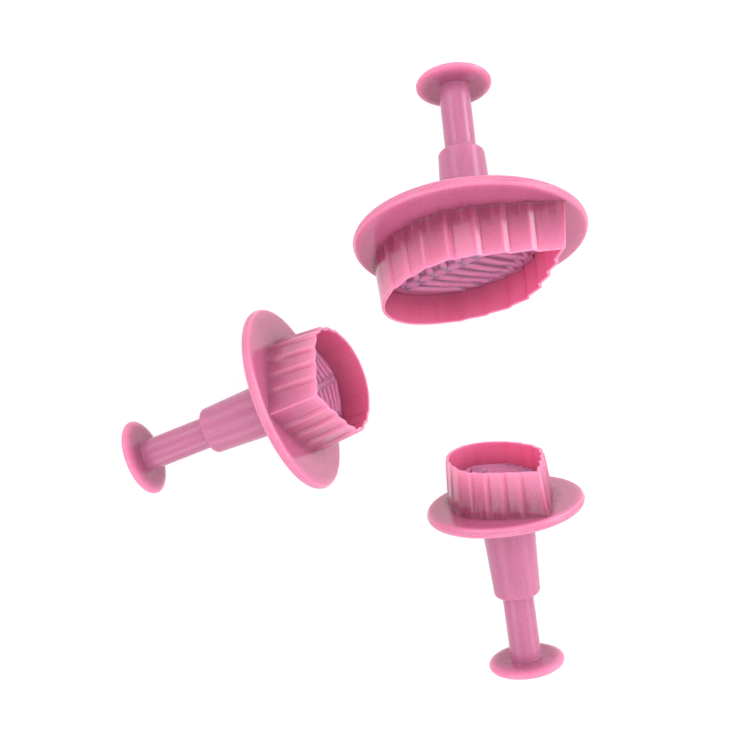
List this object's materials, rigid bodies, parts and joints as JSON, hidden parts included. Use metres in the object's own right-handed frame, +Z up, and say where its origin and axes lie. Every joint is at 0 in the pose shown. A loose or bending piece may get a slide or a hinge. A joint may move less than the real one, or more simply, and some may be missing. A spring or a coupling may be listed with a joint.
{
  "type": "leaf plunger cutter set",
  "caption": "Graded set of leaf plunger cutters: each a fluted leaf-shaped cutting ring on a round flange, with a sprung plunger, flat knob and veined embossing plate.",
  "frame": {"origin": "on the table, under the centre of the whole set's bounding box", "axes": "+Z up from the table the cutters lie on; +Y along the set's long side, from the small cutter to the large one; +X completes the frame and is the side that the medium cutter's ring faces"},
  "size_m": [0.1078, 0.1442, 0.0495],
  "materials": {
    "pink_plastic": "moulded semi-gloss, slightly translucent",
    "spring_steel": "drawn wire"
  },
  "bodies": {
    "cutter_bodies": {"large_cutter_body": "pink_plastic", "large_spring": "spring_steel", "medium_cutter_body": "pink_plastic", "medium_spring": "spring_steel", "small_cutter_body": "pink_plastic", "small_spring": "spring_steel"},
    "large_plunger_unit": {"large_plunger": "pink_plastic", "large_embossing_plate": "pink_plastic"},
    "medium_plunger_unit": {"medium_plunger": "pink_plastic", "medium_embossing_plate": "pink_plastic"},
    "small_plunger_unit": {"small_plunger": "pink_plastic", "small_embossing_plate": "pink_plastic"}
  },
  "joints": [
    {"name": "large_press", "type": "slide", "parent": "cutter_bodies", "child": "large_plunger_unit", "axis": [0.0685, -0.9115, 0.4056], "range_m": [0, 0.0075], "stiffness_N_per_m": 250, "springref_m": -0.0035, "deforming": ["large_spring"]},
    {"name": "medium_press", "type": "slide", "parent": "cutter_bodies", "child": "medium_plunger_unit", "axis": [0.8827, 0.3549, 0.308], "range_m": [0, 0.0071], "stiffness_N_per_m": 250, "springref_m": -0.0035, "deforming": ["medium_spring"]},
    {"name": "small_press", "type": "slide", "parent": "cutter_bodies", "child": "small_plunger_unit", "axis": [-0.1521, 0.9602, 0.2341], "range_m": [0, 0.0056], "stiffness_N_per_m": 250, "springref_m": -0.0035, "deforming": ["small_spring"]}
  ]
}
